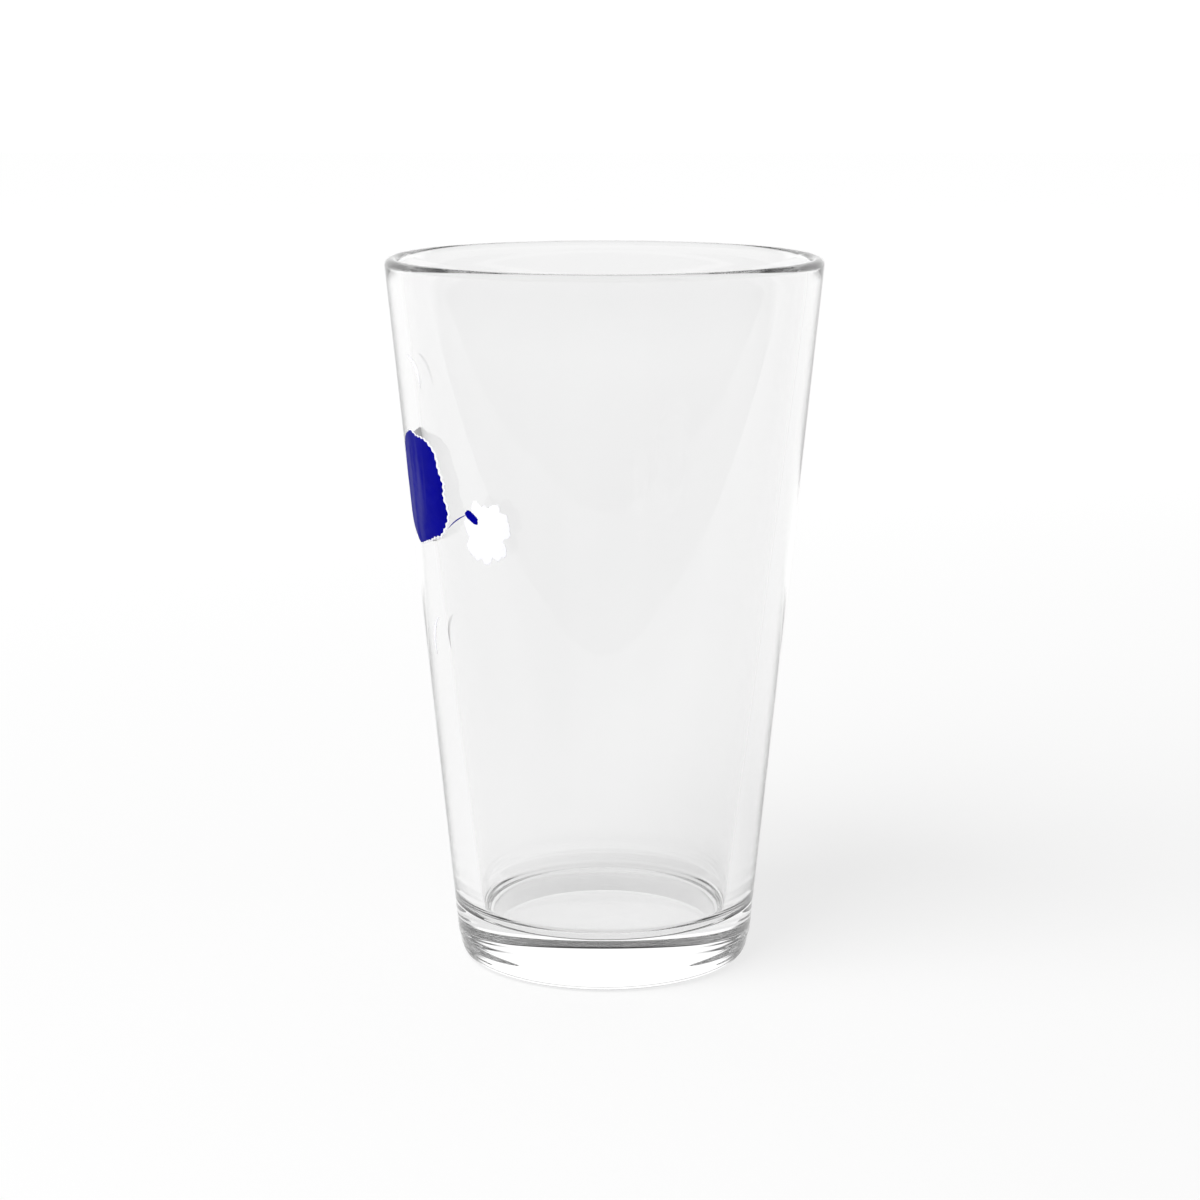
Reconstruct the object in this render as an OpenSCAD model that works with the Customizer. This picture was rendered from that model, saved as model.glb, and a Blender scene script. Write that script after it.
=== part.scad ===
// Straight-sided pint glass with a thick base and a small screen-printed decoration.
// Millimetres, +Z up. The origin is the middle of the ring that the glass stands on.
// The front is -Y, and the print is round the -X side.

/* [Glass] */
// Height over all
glass_h = 146; // [130:1:160]
// Outer diameter at the rim
rim_d = 88.9; // [80:0.1:96]
// Outer diameter of the wall, carried straight down to the table
base_d = 60.9; // [54:0.1:66]
// Thickness of the fully rounded lip
lip_t = 2.9; // [2.2:0.1:3.6]
// Inner diameter of the wall, carried straight down to the level of the floor
well_d = 51.6; // [46:0.1:53]
// Thickness of the glass under the middle of the floor
floor_t = 10; // [7:0.5:16]
// Radius where the wall turns into the floor
well_fillet = 4; // [2:0.5:8]

/* [Foot] */
// Height of the heel band, which is drawn in a little from the wall
heel_h = 5.4; // [4:0.1:8]
// How far the heel band is drawn in
heel_inset = 0.3; // [0.1:0.1:1]
// Radius of the edge round the bottom
foot_round = 2; // [0.8:0.1:2.3]
// Diameter of the shallow hollow in the underside
kick_d = 50; // [36:1:52]
// Depth of that hollow in the middle
kick_depth = 0.3; // [0.1:0.1:2]

/* [Print] */
// Thickness of one layer of ink
ink_t = 0.06; // [0.04:0.01:0.12]
// Width of the large navy daub
daub_w = 20.5; // [16:0.1:30]
// Height of the large navy daub
daub_h = 20.7; // [16:0.1:28]
// Height of its middle above the table
daub_z = 101.2; // [90:0.1:110]
// How far the white ink reaches out from under the navy
fringe = 0.25; // [0.1:0.05:1.2]
// Width of the small white daub
patch_w = 9.9; // [8:0.1:14]
// Height of the small white daub
patch_h = 11.9; // [8:0.1:14]

/* [Hidden] */
$fn = 96;

GLASS = [0.90, 0.94, 0.95, 0.35];
NAVY = [0.02, 0.02, 0.50];
WHITE = [0.97, 0.97, 1.00];

// Outer wall: a line from the table that touches the outside of the round lip.
rim_r = rim_d / 2;
base_r = base_d / 2;
lip_r = lip_t / 2;
lip_c = [rim_r - lip_r, glass_h - lip_r];
outer_tilt = atan2(lip_c.x - base_r, lip_c.y) + asin(lip_r / norm(lip_c - [base_r, 0]));
function outer_r(z) = base_r + z * tan(outer_tilt);

// Inner wall: a line from the floor that touches the inside of the round lip.
well_r = well_d / 2;
inner_tilt = atan2(lip_c.x - well_r, lip_c.y - floor_t)
  - asin(lip_r / norm(lip_c - [well_r, floor_t]));
function inner_r(z) = well_r + (z - floor_t) * tan(inner_tilt);
fillet_z = floor_t + well_fillet;
fillet_c = [inner_r(fillet_z) - well_fillet / cos(inner_tilt), fillet_z];

// Heel band: drawn in from the wall over a long soft step, and tapered a little towards the foot.
STEP_H = 3;
HEEL_TAPER = 0.25;
heel_r = outer_r(heel_h - STEP_H) - heel_inset;
heel_foot_r = heel_r - HEEL_TAPER;
foot_c = [heel_foot_r - foot_round, foot_round];

// Points of an arc, from one angle to another, both counted from the +X direction.
function arc(c, r, from, to, steps) =
  [for (i = [0:steps]) c + r * [cos(from + (to - from) * i / steps), sin(from + (to - from) * i / steps)]];

// A soft step from one point to another, flat at both ends.
function ease(t) = t * t * (3 - 2 * t);
function soft_step(low, high, steps) =
  [for (i = [1:steps - 1])
    let (t = i / steps)
      [low.x + (high.x - low.x) * ease(t), low.y + (high.y - low.y) * t]];

// The hollow in the underside, from the middle out to the ring that the glass stands on.
KICK_STEPS = 16;
function kick_z(r) = kick_depth * pow(cos(90 * r / (kick_d / 2)), 1.5);
kick = [for (i = [0:KICK_STEPS - 1]) let (r = kick_d / 2 * i / KICK_STEPS) [r, kick_z(r)]];

module half_section() {
  polygon(concat(
    kick,
    [[kick_d / 2, 0]],
    arc(foot_c, foot_round, -90, 0, 8),
    [[heel_r, heel_h - STEP_H]],
    soft_step([heel_r, heel_h - STEP_H], [outer_r(heel_h), heel_h], 10),
    [[outer_r(heel_h), heel_h]],
    arc(lip_c, lip_r, -outer_tilt, 180 - inner_tilt, 20),
    arc(fillet_c, well_fillet, -inner_tilt, -90, 12),
    [[0, floor_t]]
  ));
}

// One piece of pressed soda-lime glass.
module glass_body() {
  color(GLASS) rotate_extrude() half_section();
}

// A wet-edged daub: a full ellipse whose edge wanders and is torn where the brush let go of the ink,
// with fine bristle marks on its right side. FULLNESS over 2 squares it up.
DAUB_POINTS = 120;
FULLNESS = 3;
function full(a) = 1 / pow(pow(abs(cos(a)), FULLNESS) + pow(abs(sin(a)), FULLNESS), 1 / FULLNESS);
function wander(a, k) = 0.055 * cos(2 * a + 40 * k) + 0.045 * cos(3 * a + 75 * k)
  + 0.022 * cos(5 * a + 130 * k) + 0.014 * cos(9 * a + 20 * k);
function bristle(a) = 0.018 * cos(29 * a) * cos(17 * a + 60) * (1 + cos(a));
function tear(a, k) = 0.5 * cos(7 * a + 90 * k) + 0.3 * cos(12 * a + 30 * k) + 0.2 * cos(19 * a);
function daub(w, h, k, torn, grow = 0) =
  [for (i = [0:DAUB_POINTS - 1])
    let (a = 360 * i / DAUB_POINTS, s = full(a) + wander(a, k) + torn * tear(a, k) + bristle(a))
      [(w / 2 * s + grow) * cos(a), (h / 2 * s + grow) * sin(a)]];

// A plain brush flick: two arcs that meet in points, of the given length and middle width.
FLICK_STEPS = 12;
function bow(l, rise, side) =
  [for (i = [0:FLICK_STEPS]) let (t = side * (i / FLICK_STEPS * 2 - 1)) [t * l / 2, rise * (1 - t * t)]];
function flick(l, w, bend) =
  let (under = bow(l, bend, 1), over = bow(l, bend + w, -1))
    concat(under, [for (i = [1:FLICK_STEPS - 1]) over[i]]);

// A skin round the outer wall between two heights, from one depth of ink to another.
module skin(z0, z1, from_t, to_t) {
  rotate_extrude()
    polygon([
      [outer_r(z0) + from_t, z0],
      [outer_r(z0) + to_t, z0],
      [outer_r(z1) + to_t, z1],
      [outer_r(z1) + from_t, z1]
    ]);
}

// A film of ink with the given outline. It is centred at an angle from the front, towards -X.
REACH = 60; // how far the outline is carried out from the axis
HALF_BAND = 20; // the skin reaches this far above and below the middle of a film
module film(outline, angle, z, from_t, to_t, turn = 0) {
  intersection() {
    skin(z - HALF_BAND, z + HALF_BAND, from_t, to_t);
    translate([0, 0, z])
      rotate([90, 0, -angle])
        linear_extrude(height = REACH)
          rotate([0, 0, turn])
            polygon(outline);
  }
}

// Where the pieces of the print sit: angle from the front, height, and turn from level.
DAUB_AT = 66.3;
DAUB_TURN = 6;
DAUB_KIND = -4.3;
DAUB_TORN = 0.015;
UNDERLAY_AT = 65.7; // the white went down a little nearer to the front than the navy
PATCH_AT = 35.6;
PATCH_Z = 94.9;
PATCH_TURN = -4;
PATCH_KIND = -1.1;
PATCH_TORN = 0.15;
DROP_W = 3.4;
DROP_H = 1.8;
DROP_AT = 40.5;
DROP_Z = 97.7;
DROP_TURN = -30;
DROP_KIND = 1;
DROP_TORN = 0.05;
STEM_L = 7.5;
STEM_W = 0.25;
STEM_BEND = 0.2;
STEM_AT = 46.5;
STEM_Z = 96.3;
STEM_TURN = 30;
UPPER_L = 8;
UPPER_W = 0.9;
UPPER_BEND = 1;
UPPER_AT = 62;
UPPER_Z = 125;
UPPER_TURN = -52;
LOWER_L = 9;
LOWER_W = 1;
LOWER_BEND = 1.2;
LOWER_AT = 64;
LOWER_Z = 71;
LOWER_TURN = 70;
UNDER = -0.5; // a cutter starts this far inside the wall

module underlay_film(from_t, to_t) {
  film(daub(daub_w, daub_h, DAUB_KIND, DAUB_TORN, fringe), UNDERLAY_AT, daub_z, from_t, to_t, DAUB_TURN);
}

module patch_film(from_t, to_t) {
  film(daub(patch_w, patch_h, PATCH_KIND, PATCH_TORN), PATCH_AT, PATCH_Z, from_t, to_t, PATCH_TURN);
}

module daub_underlay() {
  color(WHITE) underlay_film(0, ink_t);
}

module daub_navy() {
  color(NAVY)
    film(daub(daub_w, daub_h, DAUB_KIND, DAUB_TORN), DAUB_AT, daub_z, ink_t, 2 * ink_t, DAUB_TURN);
}

module patch_white() {
  color(WHITE) patch_film(0, ink_t);
}

module drop_navy() {
  color(NAVY)
    film(daub(DROP_W, DROP_H, DROP_KIND, DROP_TORN), DROP_AT, DROP_Z, ink_t, 2 * ink_t, DROP_TURN);
}

// The thin stroke that joins the large daub to the drop. It stops at the white ink at each end.
module stem_navy() {
  color(NAVY)
    difference() {
      film(flick(STEM_L, STEM_W, STEM_BEND), STEM_AT, STEM_Z, 0, ink_t, STEM_TURN);
      underlay_film(UNDER, 2 * ink_t);
      patch_film(UNDER, 2 * ink_t);
    }
}

module upper_flick() {
  color(WHITE) film(flick(UPPER_L, UPPER_W, UPPER_BEND), UPPER_AT, UPPER_Z, 0, ink_t, UPPER_TURN);
}

module lower_flick() {
  color(WHITE) film(flick(LOWER_L, LOWER_W, LOWER_BEND), LOWER_AT, LOWER_Z, 0, ink_t, LOWER_TURN);
}

glass_body();
daub_underlay();
daub_navy();
patch_white();
drop_navy();
stem_navy();
upper_flick();
lower_flick();
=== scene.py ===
"""A clear pint glass with a thick base and a small screen-printed decoration, on a white sweep.

Lengths are in millimetres until a mesh is made, and then in metres, as in the frame.
The front is -Y. Print pieces sit at an angle counted from the front towards -X.
"""

import math

import bmesh
import bpy
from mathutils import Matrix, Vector


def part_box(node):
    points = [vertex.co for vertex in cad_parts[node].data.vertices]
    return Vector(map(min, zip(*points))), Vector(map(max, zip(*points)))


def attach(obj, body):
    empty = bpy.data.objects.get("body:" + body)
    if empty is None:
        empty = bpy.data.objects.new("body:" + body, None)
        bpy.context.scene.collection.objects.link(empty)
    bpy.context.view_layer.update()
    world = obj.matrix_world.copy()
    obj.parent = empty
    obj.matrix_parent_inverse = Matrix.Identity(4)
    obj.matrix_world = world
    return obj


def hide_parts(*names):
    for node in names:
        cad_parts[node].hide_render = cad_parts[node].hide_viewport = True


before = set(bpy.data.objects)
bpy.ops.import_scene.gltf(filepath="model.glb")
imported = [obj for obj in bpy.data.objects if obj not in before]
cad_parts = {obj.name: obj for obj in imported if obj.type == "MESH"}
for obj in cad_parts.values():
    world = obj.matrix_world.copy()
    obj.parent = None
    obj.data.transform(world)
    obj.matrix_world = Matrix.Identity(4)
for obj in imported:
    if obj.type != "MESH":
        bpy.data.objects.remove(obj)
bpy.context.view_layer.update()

MM = 0.001

# ---------------------------------------------------------------- the glass

_, body_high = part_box("glass_body")
GLASS_H = body_high.z / MM
RIM_R = body_high.x / MM
BASE_R = 30.45  # outer wall, carried straight down to the table
LIP_R = 1.45
WELL_R = 25.8  # inner wall, carried straight down to the floor
FLOOR_T = 10.0
WELL_FILLET = 4.0
HEEL_H = 5.4
HEEL_INSET = 0.3
HEEL_TAPER = 0.25
STEP_H = 3.0
FOOT_ROUND = 2.0
KICK_R = 25.0
KICK_DEPTH = 0.3
KICK_POWER = 1.5  # how the hollow falls off from its middle to its edge

# How finely each stretch of the outline is cut, and the glass round its axis
KICK_STEPS = 40
RING_STEPS = 6
FOOT_STEPS = 14
HEEL_STEPS = 16
WALL_STEPS = 48
LIP_STEPS = 28
FILLET_STEPS = 20
FLOOR_STEPS = 20
SEGMENTS = 480


def touching_line(foot, touch_side, centre, radius):
    """Tilt from the vertical of the line from foot that touches a circle on its outer or inner side."""
    across, up = centre[0] - foot[0], centre[1] - foot[1]
    return math.atan2(across, up) + touch_side * math.asin(radius / math.hypot(across, up))


LIP_C = (RIM_R - LIP_R, GLASS_H - LIP_R)
OUTER_TILT = touching_line((BASE_R, 0), 1, LIP_C, LIP_R)
INNER_TILT = touching_line((WELL_R, FLOOR_T), -1, LIP_C, LIP_R)


def outer_r(z):
    return BASE_R + z * math.tan(OUTER_TILT)


def inner_r(z):
    return WELL_R + (z - FLOOR_T) * math.tan(INNER_TILT)


def arc(centre, radius, start, end, steps):
    """Points of an arc, from one angle to another, both counted from the +X direction."""
    angles = [start + (end - start) * i / steps for i in range(steps + 1)]
    return [(centre[0] + radius * math.cos(a), centre[1] + radius * math.sin(a)) for a in angles]


def between(a, b, steps):
    """The points that part a straight line into equal steps, without its ends."""
    return [tuple(p + (q - p) * i / steps for p, q in zip(a, b)) for i in range(1, steps)]


def ease(t):
    """A soft change from 0 to 1, flat at both ends."""
    return t * t * (3 - 2 * t)


def half_section():
    """The outline of one half of the glass, from the middle of its underside to the middle of its floor."""
    heel_r = outer_r(HEEL_H - STEP_H) - HEEL_INSET
    heel_low = (heel_r, HEEL_H - STEP_H)
    heel_top = (outer_r(HEEL_H), HEEL_H)
    foot_c = (heel_r - HEEL_TAPER - FOOT_ROUND, FOOT_ROUND)
    fillet_z = FLOOR_T + WELL_FILLET
    fillet_c = (inner_r(fillet_z) - WELL_FILLET / math.cos(INNER_TILT), fillet_z)

    kick = []
    for i in range(KICK_STEPS):
        t = i / KICK_STEPS
        kick.append((KICK_R * t, KICK_DEPTH * math.cos(math.pi / 2 * t) ** KICK_POWER))
    ring_edge = (KICK_R, 0.0)
    ring = [ring_edge] + between(ring_edge, (foot_c[0], 0.0), RING_STEPS)
    foot = arc(foot_c, FOOT_ROUND, -math.pi / 2, 0, FOOT_STEPS)
    heel = [heel_low]
    for i in range(1, HEEL_STEPS):
        t = i / HEEL_STEPS
        heel.append((heel_r + (heel_top[0] - heel_r) * ease(t), heel_low[1] + STEP_H * t))
    heel.append(heel_top)
    lip = arc(LIP_C, LIP_R, -OUTER_TILT, math.pi - INNER_TILT, LIP_STEPS)
    fillet = arc(fillet_c, WELL_FILLET, -INNER_TILT, -math.pi / 2, FILLET_STEPS)
    floor_middle = (0.0, FLOOR_T)
    return (
        kick + ring + foot + heel
        + between(heel_top, lip[0], WALL_STEPS) + lip
        + between(lip[-1], fillet[0], WALL_STEPS) + fillet
        + between(fillet[-1], floor_middle, FLOOR_STEPS) + [floor_middle]
    )


def row_faces(rows, count):
    """Faces between rows of count points, where each row closes on itself."""
    faces = []
    for row in range(rows - 1):
        low, high = row * count, (row + 1) * count
        for i in range(count):
            j = (i + 1) % count
            faces.append((low + i, low + j, high + j, high + i))
    return faces


def finish_mesh(name, verts, faces):
    """A smooth-shaded object. Doubled points are merged and the normals face outward."""
    mesh = bpy.data.meshes.new(name)
    mesh.from_pydata(verts, [], faces)
    bm = bmesh.new()
    bm.from_mesh(mesh)
    bmesh.ops.remove_doubles(bm, verts=bm.verts, dist=1e-7)
    bmesh.ops.recalc_face_normals(bm, faces=bm.faces)
    for face in bm.faces:
        face.smooth = True
    bm.to_mesh(mesh)
    bm.free()
    obj = bpy.data.objects.new(name, mesh)
    bpy.context.scene.collection.objects.link(obj)
    return obj


def lathe(name, outline):
    """The outline, a list of (radius, height) in millimetres, turned round the Z axis."""
    verts = []
    for r, z in outline:
        for i in range(SEGMENTS):
            a = 2 * math.pi * i / SEGMENTS
            verts.append((r * math.cos(a) * MM, r * math.sin(a) * MM, z * MM))
    return finish_mesh(name, verts, row_faces(len(outline), SEGMENTS))


# ---------------------------------------------------------------- the print

INK_T = 0.06  # one layer of ink
EDGE_FALL = 0.6 * INK_T  # how much lower the face of a film is at its very edge
GAP = 0.004  # from the glass to the back of the ink, and how far the navy daub sinks into its white
FRINGE = 0.25  # how far the white ink reaches out from under the navy
FULLNESS = 3.0  # over 2 squares a daub up
LOOP_POINTS = 480  # round the outline of a film
FILM_ROWS = 24  # from the middle of a film to near its edge
EDGE_ROW = 0.985  # the last row before the edge, as a share of the way out


def full(a):
    """The distance from the middle to the edge of a squared-up circle."""
    return (abs(math.cos(a)) ** FULLNESS + abs(math.sin(a)) ** FULLNESS) ** (-1 / FULLNESS)


def wave(a, turns, shift_deg):
    """A wave with this many turns round an outline."""
    return math.cos(turns * a + math.radians(shift_deg))


def wander(a, kind):
    """How the edge of a daub strays from its ellipse. Each kind strays its own way."""
    return (
        0.055 * wave(a, 2, 40 * kind) + 0.045 * wave(a, 3, 75 * kind)
        + 0.022 * wave(a, 5, 130 * kind) + 0.014 * wave(a, 9, 20 * kind)
    )


def bristle(a):
    """Fine bristle marks, strongest on the right side of a daub."""
    return 0.018 * wave(a, 29, 0) * wave(a, 17, 60) * (1 + math.cos(a))


def tear(a, kind):
    """The torn look of an edge where a dry brush lets go of the ink."""
    return 0.5 * wave(a, 7, 90 * kind) + 0.3 * wave(a, 12, 30 * kind) + 0.2 * wave(a, 19, 0)


def turned(across, up, turn_deg):
    """A point of an outline, turned from level."""
    turn = math.radians(turn_deg)
    return (across * math.cos(turn) - up * math.sin(turn), across * math.sin(turn) + up * math.cos(turn))


def daub(width, height, kind, turn_deg, torn, grow=0.0):
    """A wet-edged daub round its middle: (outline, spine), each a list of points across and up."""
    outline = []
    for i in range(LOOP_POINTS):
        a = 2 * math.pi * i / LOOP_POINTS
        s = full(a) + wander(a, kind) + torn * tear(a, kind) + bristle(a)
        across = (width / 2 * s + grow) * math.cos(a)
        up = (height / 2 * s + grow) * math.sin(a)
        outline.append(turned(across, up, turn_deg))
    return outline, [(0.0, 0.0)] * LOOP_POINTS


def flick(length, width, bend, turn_deg):
    """A brush flick, which is two arcs that meet in points: (outline, spine)."""
    half = LOOP_POINTS // 2
    under, over, middle = [], [], []
    for i in range(half + 1):
        t = i / half * 2 - 1
        for line, rise in ((under, bend), (over, bend + width), (middle, bend + width / 2)):
            across, up = t * length / 2, rise * (1 - t * t)
            line.append(turned(across, up, turn_deg))
    return under + over[-2:0:-1], middle + middle[-2:0:-1]


def on_wall(across, up, angle, height, lift):
    """A point of the print on the outer wall, in metres."""
    z = height + up
    r = outer_r(z)
    a = math.radians(angle) - math.asin(across / r)
    return (-(r + lift) * math.sin(a) * MM, -(r + lift) * math.cos(a) * MM, z * MM)


def film(name, node, shape, angle, height, back, top):
    """A thin film of ink on the wall, which stands for a node of the CAD model."""
    outline, spine = shape
    shares = [i / FILM_ROWS for i in range(FILM_ROWS)] + [EDGE_ROW, 1.0]
    rows = [(share, top) for share in shares]
    rows[-1] = (1.0, top - EDGE_FALL)
    rows += [(share, back) for share in reversed(shares)]
    verts = []
    for share, lift in rows:
        for (x, y), (sx, sy) in zip(outline, spine):
            verts.append(on_wall(sx + share * (x - sx), sy + share * (y - sy), angle, height, lift))
    obj = finish_mesh(name, verts, row_faces(len(rows), len(outline)))
    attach(obj, "root")
    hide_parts(node)
    return obj


# ---------------------------------------------------------------- materials


class Nodes:
    """A small helper that adds nodes to a material and links them."""

    def __init__(self, material):
        material.use_nodes = True
        self.tree = material.node_tree
        self.tree.nodes.clear()
        self.output = self.add("ShaderNodeOutputMaterial")
        self.shader = self.add("ShaderNodeBsdfPrincipled")
        self.link(self.shader.outputs["BSDF"], self.output.inputs["Surface"])
        self.place = self.add("ShaderNodeTexCoord").outputs["Object"]

    def add(self, kind, **settings):
        node = self.tree.nodes.new(kind)
        for name, value in settings.items():
            setattr(node, name, value)
        return node

    def link(self, source, target):
        self.tree.links.new(source, target)

    def stretched(self, scale):
        """The object's coordinates, stretched along each axis."""
        mapping = self.add("ShaderNodeMapping")
        mapping.inputs["Scale"].default_value = scale
        self.link(self.place, mapping.inputs["Vector"])
        return mapping.outputs["Vector"]

    def noise(self, scale, detail=3.0, roughness=0.55, stretch=(1, 1, 1)):
        node = self.add("ShaderNodeTexNoise")
        self.link(self.stretched(stretch), node.inputs["Vector"])
        node.inputs["Scale"].default_value = scale
        node.inputs["Detail"].default_value = detail
        node.inputs["Roughness"].default_value = roughness
        return node.outputs["Fac"]

    def ranged(self, value, from_low, from_high, to_low, to_high):
        """The value carried from one range to another, and held at its ends."""
        node = self.add("ShaderNodeMapRange")
        self.link(value, node.inputs["Value"])
        for socket, number in zip(
            ("From Min", "From Max", "To Min", "To Max"), (from_low, from_high, to_low, to_high)
        ):
            node.inputs[socket].default_value = number
        return node.outputs["Result"]

    def mixed(self, share, side_a, side_b):
        """A blend of two sides. Each may be a colour or a socket."""
        node = self.add("ShaderNodeMix", data_type="RGBA")
        self.link(share, node.inputs["Factor"])
        for side, socket in ((side_a, node.inputs["A"]), (side_b, node.inputs["B"])):
            if isinstance(side, tuple):
                socket.default_value = (*side, 1)
            else:
                self.link(side, socket)
        return node.outputs["Result"]

    def bump(self, height, strength, distance):
        node = self.add("ShaderNodeBump")
        self.link(height, node.inputs["Height"])
        node.inputs["Strength"].default_value = strength
        node.inputs["Distance"].default_value = distance
        self.link(node.outputs["Normal"], self.shader.inputs["Normal"])


def clear_glass():
    """Pressed soda-lime glass, clear under a thin uneven film from washing.

    It is faintly wavy and has soft smears.
    """
    filmed = (0.945, 0.945, 0.945)
    cleaner = (0.965, 0.965, 0.965)
    material = bpy.data.materials.new("clear_glass")
    n = Nodes(material)
    haze = n.ranged(n.noise(18, detail=3, stretch=(1, 1, 0.5)), 0.35, 0.65, 0, 1)
    n.link(n.mixed(haze, filmed, cleaner), n.shader.inputs["Base Color"])
    n.shader.inputs["IOR"].default_value = 1.52
    n.shader.inputs["Transmission Weight"].default_value = 1.0
    smear = n.noise(30, detail=4, stretch=(1, 1, 0.4))
    n.link(n.ranged(smear, 0.55, 0.85, 0.0, 0.03), n.shader.inputs["Roughness"])
    n.bump(n.noise(14, detail=1, stretch=(1, 1, 2.5)), 0.02, 0.0006)
    return material


def ink(name, colour_a, colour_b, streak_and_sheen_colour):
    """Fired screen ink, with streaks up and down, uneven gloss and the screen's fine tooth.

    On the navy the lighter, greyer streaks are painted sheen, which stands in for reflections.
    On the white they are slightly darker streaks.
    """
    material = bpy.data.materials.new(name)
    n = Nodes(material)
    cloudy = n.ranged(n.noise(220, detail=5), 0.35, 0.65, 0, 1)
    # Vertical streaks. On the navy their lighter colour is painted sheen.
    streak_and_sheen_mask = n.ranged(n.noise(170, detail=2, stretch=(1, 1, 0.06)), 0.52, 0.68, 0, 1)
    clouds = n.mixed(cloudy, colour_a, colour_b)
    n.link(n.mixed(streak_and_sheen_mask, clouds, streak_and_sheen_colour), n.shader.inputs["Base Color"])
    n.link(n.ranged(n.noise(600, detail=3), 0.3, 0.7, 0.35, 0.50), n.shader.inputs["Roughness"])
    n.shader.inputs["Specular IOR Level"].default_value = 0.01
    n.bump(n.noise(2500, detail=2), 0.15, 0.00004)
    return material


# ---------------------------------------------------------------- the pieces

glass = lathe("clear_glass_body", half_section())
glass.data.materials.append(clear_glass())
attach(glass, "root")
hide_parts("glass_body")

INKS = {
    # The navy's third colour is painted sheen: lighter, greyer streaks in place of reflections.
    "navy_ink": ink("fired_navy", (0.0, 0.0, 0.235), (0.0005, 0.0005, 0.27), (0.04, 0.04, 0.27)),
    "white_ink": ink("fired_white", (0.93, 0.93, 0.97), (0.96, 0.96, 0.99), (0.90, 0.90, 0.95)),
}

DAUB = {"width": 20.5, "height": 20.7, "kind": -4.3, "turn_deg": 6.0, "torn": 0.015}
DAUB_Z = 101.2
NAVY_DAUB = daub(**DAUB)
WHITE_DAUB = daub(**DAUB, grow=FRINGE)
PATCH = daub(width=9.9, height=11.9, kind=-1.1, turn_deg=-4, torn=0.15)
DROP = daub(width=3.4, height=1.8, kind=1, turn_deg=-30, torn=0.05)
STEM = flick(length=7.5, width=0.25, bend=0.2, turn_deg=30)
UPPER = flick(length=8.0, width=0.9, bend=1.0, turn_deg=-52)
LOWER = flick(length=9.0, width=1.0, bend=1.2, turn_deg=70)

ONE_LAYER = INK_T
TWO_LAYERS = 2 * INK_T
STEM_T = 0.8 * INK_T  # thinner than the patch and the drop, which hide one end of the stem

PRINT = (
    # name, CAD node, shape, angle, height, back and top of the film, slot
    ("daub_white_edge", "daub_underlay", WHITE_DAUB, 65.7, DAUB_Z, GAP, ONE_LAYER, "white_ink"),
    ("daub_blue", "daub_navy", NAVY_DAUB, 66.3, DAUB_Z, INK_T - GAP, TWO_LAYERS, "navy_ink"),
    ("patch", "patch_white", PATCH, 35.6, 94.9, GAP, ONE_LAYER, "white_ink"),
    ("drop", "drop_navy", DROP, 40.5, 97.7, GAP, TWO_LAYERS, "navy_ink"),
    ("stem", "stem_navy", STEM, 46.5, 96.3, GAP, STEM_T, "navy_ink"),
    ("flick_above", "upper_flick", UPPER, 62.0, 125.0, GAP, ONE_LAYER, "white_ink"),
    ("flick_below", "lower_flick", LOWER, 64.0, 71.0, GAP, ONE_LAYER, "white_ink"),
)
for name, node, shape, angle, height, back, top, slot in PRINT:
    piece = film(name, node, shape, angle, height, back, top)
    piece.data.materials.append(INKS[slot])

# ---------------------------------------------------------------- the studio

TABLE_REACH = 4.0  # metres from the middle of the table to its edge
TABLE_DROP = 0.15 * MM  # how far the table lies under the foot, so that they share no face

# The table's painted light along Y: from and to in metres, then the strength before and after.
# It is weaker towards the camera, painted shade there, and a little more painted light is added far behind
# the glass.
NEAR_PAINTED_LIGHT = (-0.60, -0.14, 0.55, 0.79)
FAR_PAINTED_LIGHT = (0.05, 0.90, 0.0, 0.18)


def white_floor():
    """A wide white table. It gives off a little light: painted light that stands in for a lit sweep, so
    that shadows on it stay soft.
    """
    bm = bmesh.new()
    bmesh.ops.create_grid(bm, x_segments=8, y_segments=8, size=TABLE_REACH)
    mesh = bpy.data.meshes.new("white_floor")
    bm.to_mesh(mesh)
    bm.free()
    floor = bpy.data.objects.new("white_floor", mesh)
    bpy.context.scene.collection.objects.link(floor)
    floor.location.z = -TABLE_DROP
    material = bpy.data.materials.new("white_floor")
    n = Nodes(material)
    n.shader.inputs["Base Color"].default_value = (0.22, 0.22, 0.22, 1)
    n.shader.inputs["Roughness"].default_value = 0.9
    n.shader.inputs["Specular IOR Level"].default_value = 0.0
    # Painted light: the table's emission stands in for lamp light, and is weaker towards the camera.
    n.shader.inputs["Emission Color"].default_value = (1, 1, 1, 1)
    along = n.add("ShaderNodeSeparateXYZ")
    n.link(n.place, along.inputs["Vector"])
    floor_painted_light = n.add("ShaderNodeMath", operation="ADD")
    n.link(n.ranged(along.outputs["Y"], *NEAR_PAINTED_LIGHT), floor_painted_light.inputs[0])
    n.link(n.ranged(along.outputs["Y"], *FAR_PAINTED_LIGHT), floor_painted_light.inputs[1])
    n.link(floor_painted_light.outputs[0], n.shader.inputs["Emission Strength"])
    mesh.materials.append(material)


# The room's brightness, by direction
SCREEN = 1.2
FLATS = 0.04
FRONT = 0.1
GAP_BACK = 0.01
GAP_FRONT = 0.04
CEILING = 0.01


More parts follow.
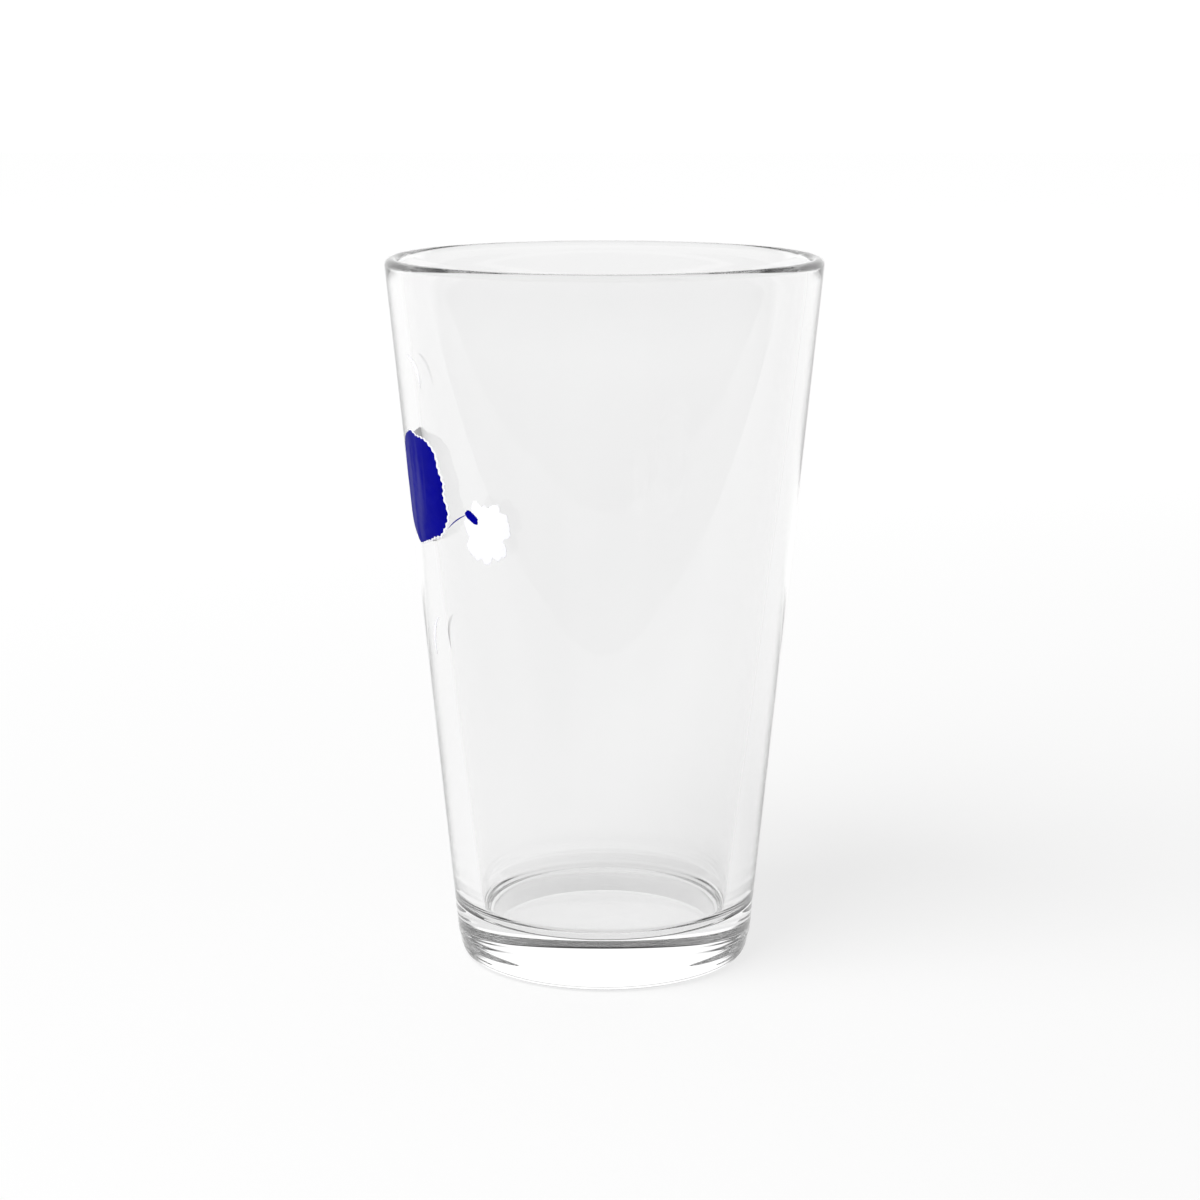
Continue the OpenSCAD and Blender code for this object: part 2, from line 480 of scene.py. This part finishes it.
def studio_world():
    """A bright screen behind the table between two dark flats, under a dark gap and a dark ceiling."""
    world = bpy.data.worlds.new("studio")
    bpy.context.scene.world = world
    world.use_nodes = True
    tree = world.node_tree
    tree.nodes.clear()

    def add(kind):
        return tree.nodes.new(kind)

    def maths(operation, *sources):
        node = add("ShaderNodeMath")
        node.operation = operation
        for source, socket in zip(sources, node.inputs):
            tree.links.new(source, socket)
        return node.outputs[0]

    def fade(source, from_deg, to_deg, before, after):
        """A soft change of strength as an angle grows. Each strength may be a number or a socket."""
        node = add("ShaderNodeMapRange")
        node.interpolation_type = "SMOOTHSTEP"
        tree.links.new(source, node.inputs["Value"])
        node.inputs["From Min"].default_value = math.radians(from_deg)
        node.inputs["From Max"].default_value = math.radians(to_deg)
        for strength, socket in ((before, node.inputs["To Min"]), (after, node.inputs["To Max"])):
            if isinstance(strength, float):
                socket.default_value = strength
            else:
                tree.links.new(strength, socket)
        return node.outputs["Result"]

    place = add("ShaderNodeTexCoord")
    parts = add("ShaderNodeSeparateXYZ")
    tree.links.new(place.outputs["Generated"], parts.inputs["Vector"])
    from_back = maths("ARCTAN2", maths("ABSOLUTE", parts.outputs["X"]), parts.outputs["Y"])
    up = maths("ARCSINE", parts.outputs["Z"])
    walls = fade(from_back, 100, 140, fade(from_back, 46, 60, SCREEN, FLATS), FRONT)
    gap = fade(from_back, 100, 140, GAP_BACK, GAP_FRONT)
    strength = fade(up, 46, 58, fade(up, 27, 31, walls, gap), CEILING)
    background = add("ShaderNodeBackground")
    background.inputs["Color"].default_value = (1, 1, 1, 1)
    tree.links.new(strength, background.inputs["Strength"])
    output = add("ShaderNodeOutputWorld")
    tree.links.new(background.outputs["Background"], output.inputs["Surface"])


LAMP_SIDE = 1.0  # metres
LAMP_WATTS = 20
LAMP_AT = (-0.6, -0.6, 1.1)


def soft_lamp():
    """A large soft lamp at the front left. It lights the ink and the table, but isn't seen in the glass."""
    data = bpy.data.lights.new("soft_lamp", "AREA")
    data.shape = "SQUARE"
    data.size = LAMP_SIDE
    data.energy = LAMP_WATTS
    lamp = bpy.data.objects.new("soft_lamp", data)
    bpy.context.scene.collection.objects.link(lamp)
    lamp.location = LAMP_AT
    aim = Vector((0, 0, 0.5 * GLASS_H * MM)) - lamp.location
    lamp.rotation_euler = aim.to_track_quat("-Z", "Y").to_euler()
    lamp.visible_glossy = False
    lamp.visible_transmission = False


LENS_MM = 81.86
CAMERA_AT = (-0.0009, -0.5547, 0.190)
CAMERA_DOWN_DEG = 11.72


def camera():
    """A long lens, a little above the rim, that looks slightly down."""
    data = bpy.data.cameras.new("camera")
    data.sensor_width = 36
    data.lens = LENS_MM
    data.clip_start = 0.01
    obj = bpy.data.objects.new("camera", data)
    bpy.context.scene.collection.objects.link(obj)
    obj.location = CAMERA_AT
    obj.rotation_euler = (math.radians(90 - CAMERA_DOWN_DEG), 0, 0)
    bpy.context.scene.camera = obj


white_floor()
studio_world()
soft_lamp()
camera()

BOUNCES = 112  # high, because light that enters the lip is piped a long way down the wall

scene = bpy.context.scene
scene.view_settings.view_transform = "Standard"
scene.cycles.use_denoising = True
scene.cycles.max_bounces = BOUNCES
scene.cycles.glossy_bounces = BOUNCES
scene.cycles.transmission_bounces = BOUNCES
